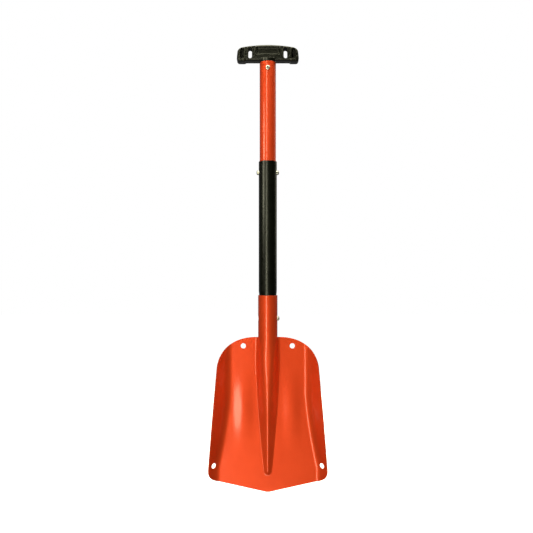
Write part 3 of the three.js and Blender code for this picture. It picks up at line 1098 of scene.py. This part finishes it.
def edge_wear(tree, place, scale, start, end):
    """A ragged mask along the piece's edges."""
    mask = add(tree, "Attribute", attribute_name="edge", out=2)
    ragged = remap(tree, noise(tree, place, scale, 4, 0.7), 0.3, 0.7)
    return remap(tree, times(tree, mask, ragged), start, end)


def orange_coat():
    """Orange anodising, half dye and half metal, mottled and scuffed under a clear seal, with bare
    metal where its edges are worn."""
    material, tree, main, place = shader("orange_coat")
    broad = remap(tree, noise(tree, place, 16, 3), 0.3, 0.7)
    colour = blended(tree, broad, (0.90, 0.072, 0.013, 1), (0.84, 0.063, 0.010, 1))
    speck = remap(tree, noise(tree, place, 900, 2), 0.35, 0.65)
    colour = blended(tree, times(tree, speck, 0.10), colour, (0.95, 0.12, 0.035, 1))
    scuff = noise(tree, stretched(tree, place, (2600, 2600, 55)), 1, 2, 0.6)
    scuff = remap(tree, scuff, 0.66, 0.74)
    wear = edge_wear(tree, place, 700, 0.62, 0.9)
    colour = blended(tree, times(tree, scuff, 0.12), colour, (0.95, 0.30, 0.14, 1))
    colour = blended(tree, wear, colour, (0.62, 0.60, 0.57, 1))
    rough = remap(tree, noise(tree, place, 60, 4), 0.3, 0.7, 0.46, 0.52)
    rough = plus(tree, rough, times(tree, scuff, 0.08))
    metal = remap(tree, wear, 0, 1, 0.5, 1)
    peel = noise(tree, place, 1100, 2)
    grain = noise(tree, place, 4200, 1)
    normal = bump(tree, grain, 0.10, 0.00003, bump(tree, peel, 0.16, 0.00008))
    feed(tree, main, Base_Color=colour, Roughness=rough, Metallic=metal, Normal=normal)
    feed(tree, main, Coat_Weight=1.0, Coat_Roughness=0.15, Specular_IOR_Level=0.3)
    return material


def black_coat():
    """Black anodised aluminium with faint drawing lines along the tube and silver where its edges rub."""
    material, tree, main, place = shader("black_coat")
    broad = remap(tree, noise(tree, place, 22, 3), 0.3, 0.7)
    colour = blended(tree, broad, (0.0012, 0.0018, 0.0006, 1), (0.0024, 0.0030, 0.0012, 1))
    lines = noise(tree, stretched(tree, place, (3400, 3400, 30)), 1, 3, 0.6)
    wear = edge_wear(tree, place, 800, 0.68, 0.95)
    colour = blended(tree, wear, colour, (0.42, 0.41, 0.39, 1))
    rough = remap(tree, noise(tree, place, 80, 4), 0.3, 0.7, 0.27, 0.33)
    rough = plus(tree, rough, remap(tree, lines, 0.4, 0.7, -0.02, 0.05))
    normal = bump(tree, lines, 0.07, 0.00004, bump(tree, noise(tree, place, 1500, 2), 0.12, 0.00005))
    feed(tree, main, Base_Color=colour, Roughness=rough, Metallic=wear, Normal=normal)
    feed(tree, main, Specular_IOR_Level=0.6)
    return material


def moulded_plastic():
    """Black nylon with a spark-eroded mould grain, duller in its hollows and darkened there as painted
    shade, and polished on its edges.
    """
    material, tree, main, place = shader("moulded_plastic")
    broad = remap(tree, noise(tree, place, 35, 3), 0.3, 0.7)
    colour = blended(tree, broad, (0.0030, 0.0036, 0.0018, 1), (0.0056, 0.0062, 0.0036, 1))
    rub = edge_wear(tree, place, 500, 0.15, 0.8)
    colour = blended(tree, times(tree, rub, 0.8), colour, (0.12, 0.122, 0.10, 1))
    rough = remap(tree, noise(tree, place, 120, 3), 0.3, 0.7, 0.28, 0.36)
    rough = add(tree, "Math", {0: rough, 1: times(tree, rub, 0.12)}, operation="SUBTRACT")
    # Painted shade: the colour is darkened where ambient occlusion finds a hollow; the roughness added
    # there makes the hollows duller.
    hollow = remap(tree, add(tree, "AmbientOcclusion", {"Distance": 0.012}, out=1), 0.75, 0.25)
    colour = blended(tree, hollow, colour, (0.0008, 0.0009, 0.0005, 1))
    rough = plus(tree, rough, times(tree, hollow, 0.4))
    cells = add(tree, "TexVoronoi", {"Vector": place, "Scale": 1500})
    grain = plus(tree, times(tree, cells, 0.6), noise(tree, place, 2600, 2))
    normal = bump(tree, grain, 0.16, 0.00006)
    feed(tree, main, Base_Color=colour, Roughness=rough, Normal=normal, Specular_IOR_Level=0.55)
    return material


def bright_metal():
    """Nickel-plated steel with turning marks and small handling scratches."""
    material, tree, main, place = shader("bright_metal")
    tint = remap(tree, noise(tree, place, 260, 3), 0.3, 0.7)
    colour = blended(tree, tint, (0.86, 0.84, 0.79, 1), (0.72, 0.70, 0.66, 1))
    marks = noise(tree, stretched(tree, place, (500, 9000, 9000)), 1, 2, 0.6)
    rub = edge_wear(tree, place, 1200, 0.2, 0.9)
    colour = blended(tree, times(tree, rub, 0.4), colour, (0.93, 0.91, 0.88, 1))
    rough = remap(tree, marks, 0.3, 0.7, 0.30, 0.42)
    normal = bump(tree, marks, 0.10, 0.00003)
    feed(tree, main, Base_Color=colour, Roughness=rough, Metallic=1.0, Normal=normal)
    return material


def spring_steel():
    """Tempered steel strip, blue-grey and straw-coloured in patches, with rolling lines."""
    material, tree, main, place = shader("spring_steel")
    tint = remap(tree, noise(tree, place, 120, 4), 0.35, 0.65)
    colour = blended(tree, tint, (0.20, 0.21, 0.24, 1), (0.30, 0.26, 0.21, 1))
    lines = noise(tree, stretched(tree, place, (5000, 5000, 120)), 1, 2, 0.6)
    rub = edge_wear(tree, place, 900, 0.2, 0.9)
    colour = blended(tree, times(tree, rub, 0.6), colour, (0.5, 0.5, 0.5, 1))
    rough = remap(tree, lines, 0.3, 0.7, 0.30, 0.48)
    normal = bump(tree, lines, 0.12, 0.00003)
    feed(tree, main, Base_Color=colour, Roughness=rough, Metallic=1.0, Normal=normal)
    return material


def pale_floor():
    """White studio floor that looks as bright as the studio behind it, so that it has no horizon."""
    material, tree, main, place = shader("pale_floor")
    shade = remap(tree, noise(tree, place, 3, 2), 0.3, 0.7)
    colour = blended(tree, shade, (0.96, 0.96, 0.955, 1), (0.94, 0.94, 0.935, 1))
    feed(tree, main, Base_Color=colour, Roughness=0.9)
    feed(tree, main, Emission_Color=(1, 1, 1, 1), Emission_Strength=1.0)
    return material


# ---- stage ----


def stage():
    """The floor. It lies so low that the blade stays above it when it is slid off the shaft."""
    reach = 5
    ground = cad_box[0].z - BLADE_TRAVEL * MM - 0.001
    made = bmesh.new()
    corner_signs = ((-1, -1), (1, -1), (1, 1), (-1, 1))
    made.faces.new([made.verts.new((x * reach, y * reach, ground)) for x, y in corner_signs])
    floor = scratch_object("studio_floor", made)
    floor.data.materials.append(pale_floor())
    floor.visible_shadow = False  # light also comes up from below its level
    floor.visible_diffuse = False
    floor.visible_glossy = False


def softbox(name, place, aim, width, height, power, mirrored=True):
    """A soft light. One that isn't mirrored lights the piece without showing in its gloss."""
    data = bpy.data.lights.new(name, "AREA")
    data.shape = "RECTANGLE"
    data.size = width
    data.size_y = height
    data.energy = power
    data.color = (1.0, 0.98, 0.70)
    lamp = bpy.data.objects.new(name, data)
    lamp.location = place
    lamp.visible_glossy = mirrored
    lamp.rotation_euler = (Vector(aim) - Vector(place)).to_track_quat("-Z", "Y").to_euler()
    bpy.context.scene.collection.objects.link(lamp)


def lights():
    softbox("key", (-0.34, -1.17, -0.05), (0, 0, -0.05), 0.2, 1.6, 6.6)
    softbox("fill", (0.3, -1.0, 0.5), (0, 0, 0.2), 0.9, 0.5, 4.5, mirrored=False)
    softbox("low", (-0.15, -1.1, -0.85), (0, 0, -0.2), 0.5, 0.35, 3.4)
    softbox("side", (-0.65, -0.45, 0.25), (0, 0, 0.2), 0.2, 0.35, 1.6)
    softbox("rim", (1.0, 0.75, 0.4), (0, 0, 0.15), 0.25, 1.0, 1.2)
    softbox("top", (0, -0.1, 1.0), (0, 0, 0.3), 1.4, 0.5, 16)
    softbox("back", (0.4, 1.2, 0.1), (0, 0, -0.1), 0.8, 1.2, 14, mirrored=False)


def surroundings():
    """A white studio: bright behind the shovel, dimmer in front, and plain white to the camera."""
    world = bpy.data.worlds.new("studio")
    world.use_nodes = True
    tree = world.node_tree
    base = tree.nodes["Background"]
    facing = add(tree, "SeparateXYZ", {0: add(tree, "TexCoord", out="Generated")}, out=1)
    glow = remap(tree, facing, 0.1, 0.8, 0.015, 0.14)
    seen = add(tree, "LightPath", out="Is Camera Ray")
    strength = add(tree, "Mix", {"Factor": seen, 2: glow, 3: 1.0}, data_type="FLOAT")
    tree.links.new(strength, base.inputs["Strength"])
    base.inputs["Color"].default_value = (1, 1, 1, 1)
    bpy.context.scene.world = world


def camera():
    """The eye stands in front of the shovel at half its height, and looks straight at it."""
    low, high = cad_box
    distance = 1.1
    aside = -0.0024
    above_middle = 0.0007
    data = bpy.data.cameras.new("camera")
    data.sensor_width = 36
    data.lens = 40.2
    eye = bpy.data.objects.new("camera", data)
    eye.location = (aside, -distance, (low.z + high.z) / 2 + above_middle)
    eye.rotation_euler = (math.pi / 2, 0, 0)
    bpy.context.scene.collection.objects.link(eye)
    bpy.context.scene.camera = eye


stage()
surroundings()
camera()
lights()

orange = orange_coat()
bright = bright_metal()
steel = spring_steel()
upper_tube(orange)
middle_tube(black_coat())
blade(orange)
snap_buttons(bright)
handle_rivet(bright, steel)
clip_springs(steel)
t_handle(moulded_plastic())
bpy.context.scene.view_settings.view_transform = "Standard"
